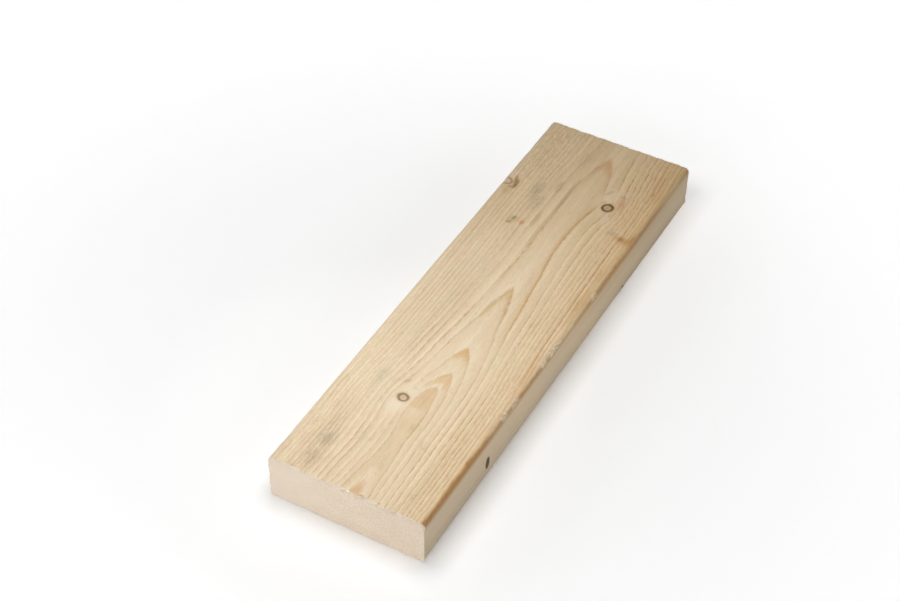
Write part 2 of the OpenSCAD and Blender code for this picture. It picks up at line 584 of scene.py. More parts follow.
# The right upper edge is browned from its crown down to where the long edge starts
lean = np.degrees(np.arctan2(sx, np.maximum(sz, 1e-6)))
lean = np.where((sz > -0.01) & (sx > 0), lean, 0.0)
wave = noise3(np.stack([P[:, 0] / 30, P[:, 1] / 44, P[:, 2] / 30], 1), 401)
blotchy = noise3(np.stack([P[:, 0] / 9, P[:, 1] / 13, P[:, 2] / 9], 1), 409)
browner = np.interp(P[:, 1], [-250, -150, -110, 60, 110, 250], [1.0, 1.08, 0.94, 0.88, 0.86, 0.78])
starts = along([(-250, -3), (-170, -1), (-120, 17), (-80, 11), (-40, 32), (0, 42), (40, 19), (80, 11), (120, 24), (160, 16), (200, 41), (250, 31)], P[:, 1])
golden = along([(-250, 1), (-140, 1), (-110, 0.6), (-80, 0.9), (-40, 0.2), (0, 0.3), (40, 0.8), (80, 1), (120, 1), (160, 0.8), (200, 0.45), (250, 0.4)], P[:, 1])
browner *= (0.90 + 0.24 * wave + 0.12 * blotchy) * (1 - 0.8 * tear) * ~is_cap
end_tone = np.where(is_cap, 1.0, np.exp(-from_end / 0.45))


def keep(name, values):
    a = mesh.attributes.new(name=name, type="FLOAT", domain="POINT")
    a.data.foreach_set("value", np.asarray(values, np.float32))


for n, axis_name in enumerate(("at_x", "at_y", "at_z")):
    keep(axis_name, Q[:, n])
keep("ring", RING)
keep("stain_grey", grey)
keep("stain_orange", orange)
keep("slope", SLOPE)
keep("upper", np.where(is_cap, 0.0, upper))
keep("lean", lean)
keep("edge_tone", np.clip(browner, 0, 1))
keep("edge_from", starts)
keep("edge_gold", golden)
keep("torn", np.clip(np.maximum(tear, 0.8 * chipped), 0, 1))
keep("end_grain", end_tone)
keep("flank", np.where(is_cap, 0.0, flank))

# ---------------------------------------------------------------------------
# Material
# ---------------------------------------------------------------------------


def srgb(r, g, b):
    out = []
    for c in (r, g, b):
        c = c / 255.0
        out.append(c / 12.92 if c <= 0.04045 else ((c + 0.055) / 1.055) ** 2.4)
    return (*out, 1.0)


class Nodes:
    """Short calls for the nodes of one material."""

    def __init__(self, material):
        material.use_nodes = True
        self.tree = material.node_tree
        self.tree.nodes.clear()

    def new(self, kind, **settings):
        n = self.tree.nodes.new(kind)
        for k, v in settings.items():
            setattr(n, k, v)
        return n

    def put(self, socket, value):
        if isinstance(value, bpy.types.NodeSocket):
            self.tree.links.new(value, socket)
        else:
            socket.default_value = value

    def math(self, op, a, b=None, c=None, clamp=False):
        n = self.new("ShaderNodeMath", operation=op, use_clamp=clamp)
        for i, x in enumerate((a, b, c)):
            if x is not None:
                self.put(n.inputs[i], x)
        return n.outputs[0]

    def vec(self, op, a, b=None, scale=None):
        n = self.new("ShaderNodeVectorMath", operation=op)
        self.put(n.inputs[0], a)
        if b is not None:
            self.put(n.inputs[1], b)
        if scale is not None:
            self.put(n.inputs["Scale"], scale)
        return n.outputs["Value"] if op in ("DOT_PRODUCT", "LENGTH", "DISTANCE") else n.outputs["Vector"]

    def stretched(self, place, by=(1.0, 1.0, 1.0), turn=(0.0, 0.0, 0.0)):
        n = self.new("ShaderNodeMapping")
        self.put(n.inputs["Vector"], place)
        n.inputs["Scale"].default_value = by
        n.inputs["Rotation"].default_value = turn
        return n.outputs[0]

    def noise(self, place, stretch, detail=2.0, rough=0.5, warp=0.0):
        at = self.stretched(place, stretch)
        n = self.new("ShaderNodeTexNoise", noise_dimensions="3D")
        self.put(n.inputs["Vector"], at)
        n.inputs["Scale"].default_value = 1.0
        n.inputs["Detail"].default_value = detail
        n.inputs["Roughness"].default_value = rough
        n.inputs["Distortion"].default_value = warp
        return n.outputs["Fac"]

    def span(self, value, a, b, lo=0.0, hi=1.0, smooth=True):
        n = self.new("ShaderNodeMapRange", interpolation_type="SMOOTHSTEP" if smooth else "LINEAR")
        self.put(n.inputs["Value"], value)
        for name, x in (("From Min", a), ("From Max", b), ("To Min", lo), ("To Max", hi)):
            self.put(n.inputs[name], x)
        return n.outputs["Result"]

    def ramp(self, value, stops, mode="LINEAR"):
        n = self.new("ShaderNodeValToRGB")
        n.color_ramp.interpolation = mode
        e = n.color_ramp.elements
        e[0].position, e[0].color = stops[0]
        e[1].position, e[1].color = stops[-1]
        for at, colour in stops[1:-1]:
            e.new(at).color = colour
        self.put(n.inputs["Fac"], value)
        return n.outputs["Color"]

    def mix(self, factor, a, b, blend="MIX"):
        n = self.new("ShaderNodeMix", data_type="RGBA", blend_type=blend, clamp_factor=True)
        self.put(n.inputs["Factor"], factor)
        self.put(n.inputs[6], a)
        self.put(n.inputs[7], b)
        return n.outputs[2]

    def mul(self, *values):
        out = values[0]
        for v in values[1:]:
            out = self.math("MULTIPLY", out, v)
        return out

    def add(self, *values):
        out = values[0]
        for v in values[1:]:
            out = self.math("ADD", out, v)
        return out

    def swing(self, noise, by):
        """A noise of 0 to 1 as a swing of plus or minus by/2 round nothing."""
        return self.math("MULTIPLY_ADD", noise, by, -by / 2)

    def tone(self, colour, value):
        n = self.new("ShaderNodeHueSaturation")
        self.put(n.inputs["Value"], value)
        self.put(n.inputs["Color"], colour)
        return n.outputs[0]

    def new_vec(self, x, y, z):
        n = self.new("ShaderNodeCombineXYZ")
        for socket, value in zip(n.inputs, (x, y, z)):
            self.put(socket, value)
        return n.outputs[0]

    def attr(self, name):
        return self.new("ShaderNodeAttribute", attribute_type="GEOMETRY", attribute_name=name).outputs["Fac"]


mat = bpy.data.materials.new("planed_spruce")
g = Nodes(mat)
mm = g.stretched(g.new("ShaderNodeTexCoord").outputs["Object"], (1000.0, 1000.0, 1000.0))
px, py, pz = g.attr("at_x"), g.attr("at_y"), g.attr("at_z")

end = g.attr("end_grain")
side = g.attr("flank")
torn = g.attr("torn")
top = g.attr("upper")

blot_edge = g.swing(g.noise(mm, (0.85, 0.30, 0.85), 3.0, 0.6), 1.0)


def blot(x, y, rx, ry, turn=0.0, soft=0.5, ragged=0.8):
    """A patch on the upper face: its middle, half sizes, and how far its long axis leans to the left."""
    c, sn = math.cos(math.radians(turn)), math.sin(math.radians(turn))
    dx, dy = g.math("SUBTRACT", px, x), g.math("SUBTRACT", py, y)
    a = g.add(g.mul(dx, c / rx), g.mul(dy, sn / rx))
    b = g.add(g.mul(dy, c / ry), g.mul(dx, -sn / ry))
    d = g.math("SQRT", g.add(g.mul(a, a), g.mul(b, b)))
    d = g.add(d, g.mul(blot_edge, ragged))
    return g.mul(g.span(d, 1 + soft / 2, 1 - soft / 2), top)


def paint(under, mask, amount, tint):
    return g.mix(g.mul(mask, amount), under, srgb(*tint))


# Quiet wood beside the knots, where the rings turn away from the face
calm = g.math("MAXIMUM", blot(-12.5, -140, 9.0, 18.0, 0, 1.1, 0.6), blot(25.0, 172.0, 8.0, 17.0, -14, 1.1, 0.6))

# Rings; the fibres fray each line sideways by a fraction of a millimetre
wiggle = g.span(g.math("ABSOLUTE", g.math("SUBTRACT", px, 4.0)), 12.0, 42.0, 0.85, 0.34)
fray = g.add(
    g.swing(g.noise(mm, (0.10, 0.028, 0.10), 2.0, 0.5), 2.0),
    g.mul(g.swing(g.noise(mm, (0.30, 0.115, 0.30), 3.0, 0.6), 2.6), wiggle),
    g.mul(g.swing(g.noise(mm, (0.26, 0.085, 0.26), 2.0, 0.5), 3.4), g.math("MAXIMUM", blot(46.0, 130.0, 17.0, 40.0, 0, 1.2, 0.3), blot(44.0, 215.0, 24.0, 50.0, 0, 1.0, 0.3))),
    g.swing(g.noise(mm, (2.0, 0.22, 2.0), 2.0, 0.6), 1.1),
    g.swing(g.noise(mm, (3.6, 0.55, 3.6), 1.0, 0.5), 0.8),
)
slope = g.attr("slope")
ring = g.add(g.attr("ring"), g.mul(g.math("MAXIMUM", slope, 0.012), fray))
ring_no = g.math("FLOOR", ring)
ring_t = g.math("FRACT", ring)
thin = g.mul(g.span(ring_t, 0.64, 0.82), g.span(ring_t, 0.955, 1.0, 1.0, 0.0))
wide = g.mul(g.span(ring_t, 0.42, 0.86), g.span(ring_t, 0.94, 1.0, 1.0, 0.0))
wide_here = g.span(px, 0.0, -30.0, 0.15, 0.85)
late = g.add(g.mul(thin, g.math("SUBTRACT", 1.0, wide_here)), g.mul(wide, wide_here))
haze = g.mul(g.span(ring_t, 0.10, 0.75), g.span(ring_t, 0.965, 1.0, 1.0, 0.0))
# Early wood just outside each late-wood line, where the painted highlight of the raised grain goes
fresh_ridge_highlight = g.mul(g.span(ring_t, 0.0, 0.05), g.span(ring_t, 0.10, 0.42, 1.0, 0.0))
first = 8  # the rings nearer the pith than this do not reach the upper face
each = g.ramp(
    g.mul(g.add(ring_no, 0.5 - first), 1 / 32),
    [(n / 32, (RINGS[n + first][2],) * 3 + (1.0,)) for n in range(len(RINGS) - first)],
    "CONSTANT",
)
plain = g.new("ShaderNodeSeparateColor")
g.put(plain.inputs[0], each)
each = plain.outputs[0]
strong = g.mul(g.math("COMPARE", ring_no, float(STRONG_RING), 0.5), g.span(px, 20.0, 40.0), g.span(py, 150.0, 105.0), g.span(py, -100.0, -50.0))
fade = g.span(g.noise(mm, (0.06, 0.014, 0.06), 3.0, 0.6), 0.34, 0.66, 0.40, 1.25)
uneven = g.span(g.noise(mm, (0.075, 0.030, 0.075), 3.0, 0.6), 0.38, 0.60, 0.15, 1.20)
broken_line = g.span(g.noise(mm, (1.2, 0.13, 1.2), 3.0, 0.65), 0.34, 0.60, 0.10, 1.22)
tip = g.span(slope, 0.060, 0.020)
last_arch = g.math("COMPARE", ring_no, float(RADII.index(63.25)), 0.5)
arms = g.mul(last_arch, g.span(py, -120.0, 20.0), g.span(py, 160.0, 125.0, 0.3, 1.0), g.span(px, -4.0, 8.0, 0.45, 1.0))
far_right = g.mul(g.span(px, 14.0, 28.0), g.span(px, 54.0, 40.0, 0.2, 1.0), g.span(py, 168.0, 196.0))
late = g.mul(late, g.math("MAXIMUM", g.mul(each, fade, broken_line), g.math("MAXIMUM", g.mul(tip, 0.55), g.math("MAXIMUM", g.mul(arms, g.span(px, 0.0, 8.0), 0.80), g.mul(strong, g.span(broken_line, 0.1, 1.2, 0.68, 1.05))))))
late = g.mul(late, g.math("SUBTRACT", 1.0, g.mul(calm, 0.80)), g.math("SUBTRACT", 1.0, g.mul(side, 0.70)))
late = g.mul(late, g.math("SUBTRACT", 1.0, g.mul(last_arch, g.span(py, 172.0, 198.0), 0.6)), g.add(1.0, g.mul(far_right, 0.60), g.mul(g.span(px, 14.0, 26.0), g.span(py, -130.0, -90.0), g.span(py, 130.0, 95.0), -0.15)))
left_far = g.mul(g.span(px, -14.0, -34.0), g.span(py, -170.0, 60.0))
left = g.span(px, -12.0, -34.0)
late = g.mul(late, g.math("SUBTRACT", 1.0, g.mul(left_far, 0.35)), g.math("SUBTRACT", 1.0, g.mul(left, g.math("SUBTRACT", 1.0, uneven), g.span(py, -120.0, 40.0, 0.45, 0.75))))

# Pale early wood: slow drift of tone, browner towards the right edge and the far end
drift = g.noise(mm, (0.030, 0.0075, 0.030), 2.0, 0.5)
band = g.noise(mm, (0.28, 0.0060, 0.28), 3.0, 0.6)
warm = g.span(px, 8.0, 68.0)
pale = g.mix(g.span(drift, 0.32, 0.70), srgb(234, 213, 181), srgb(226, 202, 167))
pale = g.mix(g.mul(warm, g.span(py, -240.0, 20.0, 0.44, 0.62)), pale, srgb(222, 190, 144))
pale = g.mix(g.mul(g.span(px, -54.0, -70.0), 0.5), pale, srgb(237, 217, 184))
pale = g.mix(g.mul(haze, 0.12), pale, srgb(214, 183, 140))
# Painted highlight: the pale early wood just outside each late-wood line is brightened further, standing in for light
# on the raised grain beside the line
pale = g.mix(g.mul(fresh_ridge_highlight, g.span(band, 0.35, 0.6, 0.15, 0.45)), pale, srgb(242, 227, 199))
hue = g.noise(mm, (0.055, 0.022, 0.055), 3.0, 0.6)
line = g.mix(g.span(hue, 0.42, 0.60), srgb(190, 164, 110), srgb(196, 152, 108))
line = g.mix(g.mul(warm, 0.8), line, g.mix(g.span(hue, 0.42, 0.60), srgb(172, 138, 82), srgb(178, 126, 80)))
line = g.mix(tip, line, srgb(214, 177, 126))
pink = g.noise(mm, (0.085, 0.040, 0.085), 3.0, 0.65)
pale = g.mix(g.span(pink, 0.50, 0.70, 0.0, 0.38), pale, srgb(234, 204, 176))
pale = g.mix(g.span(pink, 0.48, 0.30, 0.0, 0.34), pale, srgb(226, 212, 172))
line = g.mix(g.mul(arms, 0.85), line, srgb(203, 148, 84))
line = g.mix(g.mul(strong, 0.65), line, srgb(166, 112, 50))
line = g.mix(g.mul(far_right, 0.55), line, srgb(160, 112, 80))
pale = paint(pale, g.mul(arms, g.span(px, 0.0, 8.0), g.span(ring_t, 0.50, 0.80)), 0.30, (214, 168, 108))
colour = g.mix(g.mul(late, g.span(px, -10.0, 30.0, 0.56, 0.64)), pale, line)

# Arch tips: late wood cut nearly along its layer shows as a filled patch
tip_edge = g.mul(blot_edge, 6.0)
tip_fray = g.add(g.mul(blot_edge, 0.06), g.swing(g.noise(mm, (1.7, 0.10, 1.7), 2.0, 0.6), 0.22))
for radius, t_from, y_from, y_over, y_to, tint, amount in TIPS:
    n = RADII.index(radius)
    patch = g.mul(
        g.span(g.add(ring, tip_fray), n + 1.0, n + 0.92),
        g.span(ring, n + t_from - 0.08, n + t_from + 0.10),
        g.span(g.add(py, tip_edge), y_from, y_from + y_over),
        g.span(py, y_to + 2.0, y_to),
        top,
    )
    colour = g.mix(g.mul(patch, amount), colour, srgb(*tint))

# Fibres, bright flecks of lifted grain painted as highlights, pale and dark specks and ripples painted as light and
# shade, and the short dark hairs of resin canals
fibre_n = g.noise(mm, (2.2, 0.055, 2.2), 3.0, 0.6)
fleck_n = g.noise(mm, (1.4, 0.19, 1.4), 3.0, 0.65)
quiet = g.mul(g.math("SUBTRACT", 1.0, g.mul(calm, 0.6)), g.math("SUBTRACT", 1.0, g.mul(side, 0.45)))
outer = g.mul(g.span(g.math("ABSOLUTE", g.math("SUBTRACT", px, 5.0)), 14.0, 48.0, 0.55, 1.0), g.math("SUBTRACT", 1.0, g.mul(side, 0.45)))
mottle = g.noise(mm, (0.42, 0.15, 0.42), 3.0, 0.6)
value = g.add(1.0, g.mul(g.swing(band, 0.24), outer), g.mul(g.swing(mottle, 0.16), outer, g.add(1.0, g.mul(g.span(px, -20.0, -45.0), g.span(py, 110.0, 180.0), 2.0))), g.mul(g.swing(fibre_n, 0.22), quiet), g.mul(g.swing(fleck_n, 0.22), quiet, outer), g.mul(left_far, -0.034))
scuff = g.noise(mm, (1.05, 0.42, 1.05), 2.0, 0.6)
comb = g.noise(mm, (0.60, 0.0065, 0.60), 2.0, 0.55)
value = g.add(value, g.mul(g.swing(comb, 0.16), g.span(g.math("ABSOLUTE", g.math("SUBTRACT", px, 4.0)), 24.0, 48.0)))
value = g.add(value, g.mul(g.swing(scuff, 0.15), quiet))
colour = g.tone(colour, value)
# Painted highlight: sparse bright flecks where the lifted grain would catch the light
fleck_highlight = g.mul(g.span(fleck_n, 0.59, 0.72), quiet, outer)
rough_zone = g.mul(g.span(px, 4.0, -16.0), g.span(py, -80.0, -130.0))
fleck_highlight = g.mul(fleck_highlight, g.add(1.0, g.mul(rough_zone, 0.7)))
colour = paint(colour, fleck_highlight, 0.42, (249, 238, 214))
# Painted highlights and painted shade: small pale and dark specks stand in for the lit and shaded sides of fine raised
# grain
speck_shading_n = g.noise(mm, (1.5, 0.45, 1.5), 2.0, 0.6)
colour = paint(colour, g.mul(g.span(speck_shading_n, 0.63, 0.73), quiet, outer), 0.50, (251, 241, 219))
colour = paint(colour, g.mul(g.span(speck_shading_n, 0.36, 0.28), quiet, outer), 0.28, (182, 150, 106))
slant = g.stretched(mm, turn=(0.0, 0.0, math.radians(-24)))
# Painted highlights and painted shade: pale and dark slanting ripples in a few patches stand in for light and shade on
# fine ridges across the grain
chatter_shading_n = g.noise(slant, (1.5, 0.22, 1.5), 2.0, 0.6)
chatter_shading_at = g.math("MAXIMUM", blot(-48.0, 195.0, 24.0, 55.0, 0, 1.0, 0.9), g.math("MAXIMUM", blot(-3.0, -116.0, 7.0, 16.0, 0, 1.0, 0.9), g.math("MAXIMUM", blot(24.0, 183.0, 8.0, 11.0, 0, 1.0, 0.9), blot(58.0, -98.0, 12.0, 30.0, 0, 1.0, 0.9))))
colour = paint(colour, g.mul(g.span(chatter_shading_n, 0.56, 0.70), chatter_shading_at), 0.50, (247, 233, 211))
colour = paint(colour, g.mul(g.span(chatter_shading_n, 0.42, 0.30), chatter_shading_at), 0.26, (184, 154, 116))
hairs = g.span(g.noise(mm, (2.6, 0.10, 2.6), 1.0, 0.5), 0.66, 0.74)
colour = paint(colour, g.mul(hairs, quiet), 0.30, (156, 124, 84))
colour = paint(colour, calm, 0.50, (238, 222, 194))
far_end = g.mul(g.span(py, -80.0, 260.0), g.math("MULTIPLY_ADD", top, 0.6, 0.4))
colour = g.mix(far_end, colour, g.mix(warm, (1.0, 0.938, 0.825, 1.0), (1.0, 0.925, 0.78, 1.0)), "MULTIPLY")

# Grey and orange stains run along the fibres
streak = g.span(g.noise(mm, (1.3, 0.07, 1.3), 3.0, 0.65), 0.34, 0.60)
clots = g.span(g.noise(slant, (0.55, 0.20, 0.55), 3.0, 0.65), 0.36, 0.60, 0.55, 1.25)
colour = paint(colour, g.mul(g.attr("stain_grey"), g.math("MULTIPLY_ADD", streak, 0.80, 0.25), clots), 0.92, (144, 136, 117))
colour = paint(colour, g.mul(g.attr("stain_orange"), g.math("MULTIPLY_ADD", streak, 0.6, 0.4)), 0.78, (190, 130, 66))

# Small marks on the upper face: place, half sizes, lean, tint, strength, softness
for x, y, rx, ry, turn, tint, amount, soft in [
    (-38.5, 102.5, 4.2, 6.0, -20, (176, 150, 92), 0.34, 1.4), (-37.6, 105.4, 1.7, 3.2, -16, (146, 108, 26), 0.48, 1.0),
    (-39.8, 98.6, 1.7, 2.8, -30, (150, 112, 34), 0.44, 1.0),
    (-28.5, 103.0, 2.2, 3.0, 0, (214, 146, 84), 0.70, 1.1), (-25.0, 101.5, 1.4, 2.4, 0, (228, 218, 202), 0.35, 1.1),
    (-61.6, 155.6, 1.5, 5.4, 17, (164, 118, 36), 0.66, 1.1), (-59.0, 150.4, 2.4, 4.6, 8, (152, 106, 24), 0.66, 1.1),
    (-58.3, 145.4, 2.0, 3.2, 0, (134, 88, 8), 0.62, 1.1), (-60.4, 142.6, 2.6, 1.8, 0, (160, 116, 44), 0.46, 1.2),
    (-62.5, 138.0, 3.8, 8.5, 12, (184, 152, 98), 0.38, 1.4), (-66.0, 160.0, 3.0, 6.0, 0, (230, 210, 190), 0.45, 1.3),
    (-1.0, -10.5, 2.5, 13.0, -8, (206, 178, 126), 0.44, 1.0), (-9.0, 34.0, 1.5, 17.0, 0, (206, 184, 130), 0.30, 1.0),
    (-10.7, 101.0, 1.8, 28.0, 0, (196, 170, 112), 0.38, 1.0), (-19.0, 113.0, 2.2, 10.0, 0, (184, 160, 104), 0.40, 1.2),
    (-9.8, 152.0, 1.8, 26.0, 0, (176, 150, 114), 0.52, 1.2),
    (-17.6, -121.0, 2.0, 3.2, -30, (172, 152, 118), 0.42, 1.4), (-6.5, -125.5, 2.2, 1.4, 0, (176, 154, 122), 0.30, 1.4),
    (-4.0, -127.0, 3.2, 6.5, -10, (240, 226, 200), 0.45, 1.3), (-13.0, -151.0, 5.5, 7.0, 0, (242, 229, 203), 0.40, 1.4),
    (36.8, 172.0, 3.6, 8.0, 0, (222, 184, 152), 0.46, 0.9), (39.4, 171.5, 1.8, 8.4, 0, (218, 150, 106), 0.54, 1.0),
    (37.2, 180.2, 3.8, 1.2, 0, (166, 134, 92), 0.32, 1.4), (42.2, 166.0, 1.1, 7.0, 4, (176, 136, 90), 0.36, 1.2),
    (23.0, 180.0, 1.6, 5.0, -30, (176, 150, 106), 0.30, 1.4), (25.5, 170.5, 2.6, 4.6, 0, (236, 216, 184), 0.55, 1.3),
    (24.0, 165.5, 1.6, 3.4, -30, (178, 150, 118), 0.34, 1.3), (19.5, 188.0, 1.4, 5.0, -20, (230, 210, 178), 0.45, 1.3),
    (36.5, 143.0, 3.6, 6.5, 0, (232, 212, 188), 0.55, 1.4), (37.0, 151.0, 1.2, 1.8, 0, (176, 160, 100), 0.35, 1.3),
    (29.0, 149.0, 3.4, 4.4, 0, (230, 206, 186), 0.45, 1.4), (41.0, 186.0, 3.0, 7.0, -10, (228, 204, 166), 0.35, 1.5),
    (62.0, 126.5, 7.5, 3.4, 0, (190, 128, 64), 0.32, 1.5), (59.5, 126.6, 2.4, 2.8, 0, (154, 98, 42), 0.42, 1.2),
    (65.5, 124.5, 1.8, 5.0, 0, (196, 132, 66), 0.34, 1.4), (69.6, 130.0, 3.0, 8.5, 0, (198, 114, 18), 0.50, 1.5), (69.0, 132.0, 1.3, 4.0, 0, (150, 86, 28), 0.24, 1.2),
    (53.0, 128.5, 3.6, 2.6, 0, (196, 144, 92), 0.22, 1.5),
    # Along the near upper arris: the pale flecks at x 0.4, -59 and 27.6 are painted highlights where fibres are lifted
    (15.5, -247.2, 3.4, 1.0, 0, (150, 102, 64), 0.60, 0.8), (-51.0, -247.2, 2.2, 1.0, 0, (176, 142, 118), 0.36, 1.0),
    (30.4, -248.3, 0.9, 1.8, 0, (118, 94, 66), 0.62, 0.8), (0.4, -248.7, 3.8, 1.4, 0, (255, 249, 231), 0.90, 0.6),
    (-59.0, -248.6, 1.8, 1.2, 0, (250, 242, 222), 0.60, 0.8), (27.6, -249.0, 1.2, 1.0, 0, (252, 244, 226), 0.60, 0.8),
    (-2.5, 69.0, 0.5, 7.5, -4, (238, 224, 196), 0.50, 1.0), (5.0, -38.0, 0.5, 4.5, 6, (242, 228, 202), 0.45, 1.0),
    (-42.5, -206.0, 0.5, 3.0, 30, (228, 214, 188), 0.30, 1.4), (5.0, -157.0, 6.0, 10.0, 0, (220, 188, 144), 0.26, 1.4),
]:
    colour = paint(colour, blot(x, y, rx, ry, turn, soft), amount, tint)

# Long edges are greyer and darkened with painted shade; the right upper edge is browned
dull = g.noise(mm, (0.05, 0.020, 0.085), 3.0, 0.6)
colour = g.mix(g.mul(side, side, 0.58), colour, g.mix(g.span(dull, 0.38, 0.62), srgb(196, 182, 161), srgb(203, 184, 153)))
colour = g.mix(g.mul(side, g.span(pz, 22.0, 38.0), g.span(py, -110.0, 90.0), 0.34), colour, srgb(190, 158, 112))
# Painted shade: the long edges are darkened a little all over, more towards the near end, and much more towards the far
# end and the floor, for the shade they lie in and the contact shadow at the floor
colour = g.tone(colour, g.math("SUBTRACT", 1.0, g.mul(side, g.add(0.075, g.span(py, -60.0, -190.0, 0.0, 0.065), g.span(py, 0.0, 200.0, 0.0, 0.185), g.span(pz, 20.0, 2.0, 0.0, 0.15)))))
lean = g.attr("lean")
edge_from = g.attr("edge_from")
crumbs = g.noise(mm, (0.50, 0.19, 0.50), 3.0, 0.65)
edge_wave = g.add(g.swing(crumbs, 24.0), g.swing(g.noise(mm, (0.06, 0.045, 0.06), 2.0, 0.5), 34.0))
edge = g.mul(
    g.span(g.add(lean, edge_wave), edge_from, g.add(edge_from, 44.0)), g.span(lean, 62.0, 92.0, 1.0, 0.36),
    g.span(pz, T - 9.0, T - 5.2), g.attr("edge_tone"), g.span(fibre_n, 0.30, 0.62, 1.0, 0.84),
)
gold = g.attr("edge_gold")
colour = paint(colour, g.mul(g.span(px, 63.0, 69.0), top, gold), 0.24, (212, 168, 100))
colour = g.mix(g.mul(edge, 0.82), colour, g.mix(gold, srgb(152, 110, 60), srgb(158, 102, 26)))
colour = paint(colour, g.mul(edge, g.span(crumbs, 0.54, 0.68)), 0.34, (108, 70, 28))

# Knots: a bark ring round paler wood with its own rings, a pith and drying cracks
knot_wave = g.swing(g.noise(mm, (0.42, 0.42, 0.42), 2.0, 0.5), 0.22)
knot_grain = g.noise(mm, (1.9, 1.9, 1.9), 3.0, 0.65)
# name: where the bark ring starts in radii, its strength, where it is thicker (far, left), ring tint, heart tint
KNOT_LOOK = {
    "upper_near": (0.50, 0.92, (0.13, 0.14), (150, 123, 91), (220, 194, 160)),
    "upper_far": (0.56, 0.97, (0.06, -0.05), (112, 80, 33), (206, 172, 132)),
    "upper_left_edge": (0.62, 0.85, (0.0, 0.0), (162, 134, 102), (222, 192, 160)),
    "right_edge": (0.10, 1.00, (0.0, 0.0), (74, 48, 24), (90, 60, 32)),
    "right_edge_pin": (0.10, 1.00, (0.0, 0.0), (68, 46, 28), (84, 60, 38)),
    "left_edge": (0.45, 1.00, (0.1, 0.0), (104, 76, 44), (160, 124, 84)),
}
heart = None
for name, q, axis, grain, cross, ra, rb, span_, darkness in KNOT_AXES:
    bark_from, bark_amount, thicker, ring_tint, heart_tint = KNOT_LOOK[name]
    d = g.vec("SUBTRACT", mm, tuple(q))
    s = g.vec("DOT_PRODUCT", d, tuple(axis))
    a = g.math("DIVIDE", g.vec("DOT_PRODUCT", d, tuple(grain)), ra)
    b = g.math("DIVIDE", g.vec("DOT_PRODUCT", d, tuple(cross)), rb)
    far = g.math("SQRT", g.add(g.mul(a, a), g.mul(b, b)))
    grown = g.math("SQRT", g.math("MINIMUM", g.math("MAXIMUM", g.math("DIVIDE", g.add(s, span_), span_), 0.06), 1.3))
    u = g.add(g.math("DIVIDE", far, grown), knot_wave)
    disc = g.span(u, 1.10, 0.90)
    # Fine rays run out from the knot's heart
    swirl = g.math("ARCTAN2", a, b)
    rays = g.noise(g.new_vec(g.mul(g.math("SINE", swirl), 2.6), g.mul(g.math("COSINE", swirl), 2.6), g.mul(u, 1.6)), (1, 1, 1), 3.0, 0.7)
    inside = g.tone(srgb(*heart_tint), g.add(1.0, g.swing(rays, 0.70), g.swing(knot_grain, 0.50)))
    crack = g.mul(g.span(g.math("ABSOLUTE", g.add(b, g.mul(a, 0.35), knot_wave)), 0.10, 0.03), g.span(u, bark_from - 0.05, bark_from - 0.25))
    inside = paint(inside, crack, 0.50, (150, 120, 88))
    bark = g.tone(srgb(*ring_tint), g.add(1.0, g.swing(knot_grain, 0.34)))
    gap = g.span(g.noise(mm, (0.35, 0.35, 0.35), 2.0, 0.6), 0.34, 0.54, 0.82, 1.0)
    inner = g.add(u, g.mul(a, thicker[0]), g.mul(b, thicker[1]))
    whole = g.mix(g.mul(g.span(inner, bark_from - 0.14, bark_from + 0.16), g.span(u, 1.06, 0.88, 0.5, 1.0), gap, bark_amount), inside, bark)
    rimmed = g.mul(g.span(u, 1.55, 1.0), g.span(u, 0.85, 1.0))
    colour = paint(colour, rimmed, 0.30, (186, 156, 116))
    colour = g.mix(disc, colour, whole)
    heart = disc if heart is None else g.math("MAXIMUM", heart, disc)

# Torn fibre and chips: pale tufts of torn fibre, with painted shade in the darker hollows between them
tuft = g.span(g.noise(mm, (1.0, 0.24, 1.0), 3.0, 0.7), 0.38, 0.56)
# Painted shade: where the tuft noise is low, which is also where the bump sinks, the colour is darkened
ripped_with_hollow_shade = g.mix(tuft, srgb(176, 144, 102), srgb(250, 238, 214))
colour = g.mix(g.mul(torn, 0.75), colour, ripped_with_hollow_shade)

# Saw-cut ends: pale, pinkish and fine, with faint slanting kerf lines
turned = g.stretched(mm, turn=(0.0, END_SLANT, 0.0))
kerf_n = g.noise(turned, (0.022, 0.02, 0.80), 3.0, 0.6)
speck = g.noise(mm, (0.62, 0.4, 0.62), 3.0, 0.72)
blotch = g.noise(mm, (0.06, 0.06, 0.09), 2.0, 0.5)
cut = g.mix(g.span(blotch, 0.35, 0.65), srgb(223, 207, 187), srgb(221, 203, 181))
cut = g.mix(g.mul(g.span(px, -5.0, -50.0), 0.45), cut, srgb(224, 211, 195))
cut = g.tone(cut, g.math("SUBTRACT", 1.0, g.mul(g.span(px, -10.0, 55.0), g.span(pz, 0.0, 30.0, 0.4, 1.0), 0.042)))
cut = g.mix(g.mul(late, g.span(py, -20.0, 20.0, 0.12, 0.42)), cut, srgb(196, 164, 128))
cut = g.tone(cut, g.add(0.985, g.swing(kerf_n, 0.06), g.mul(g.swing(speck, 1.0), g.span(px, -45.0, 0.0, 0.25, 1.0))))
cut = paint(cut, g.mul(g.span(speck, 0.58, 0.70), g.span(px, -45.0, 0.0, 0.4, 1.0)), 0.46, (186, 160, 130))
cut = paint(cut, g.span(speck, 0.40, 0.30), 0.40, (240, 228, 210))
cut = g.mix(g.mul(heart, 0.5), cut, srgb(150, 120, 92))
# The broken arris shows pale fibre ends, painted as highlights, and dark gaps between them, painted as shade
frill = g.mul(end, g.math("SUBTRACT", 1.0, end), 4.0)
cut = g.mix(g.mul(frill, g.span(fleck_n, 0.46, 0.60)), cut, srgb(247, 236, 213))
cut = g.mix(g.mul(frill, g.span(fleck_n, 0.44, 0.34), 0.6), cut, srgb(176, 142, 104))
colour = g.mix(end, colour, cut)

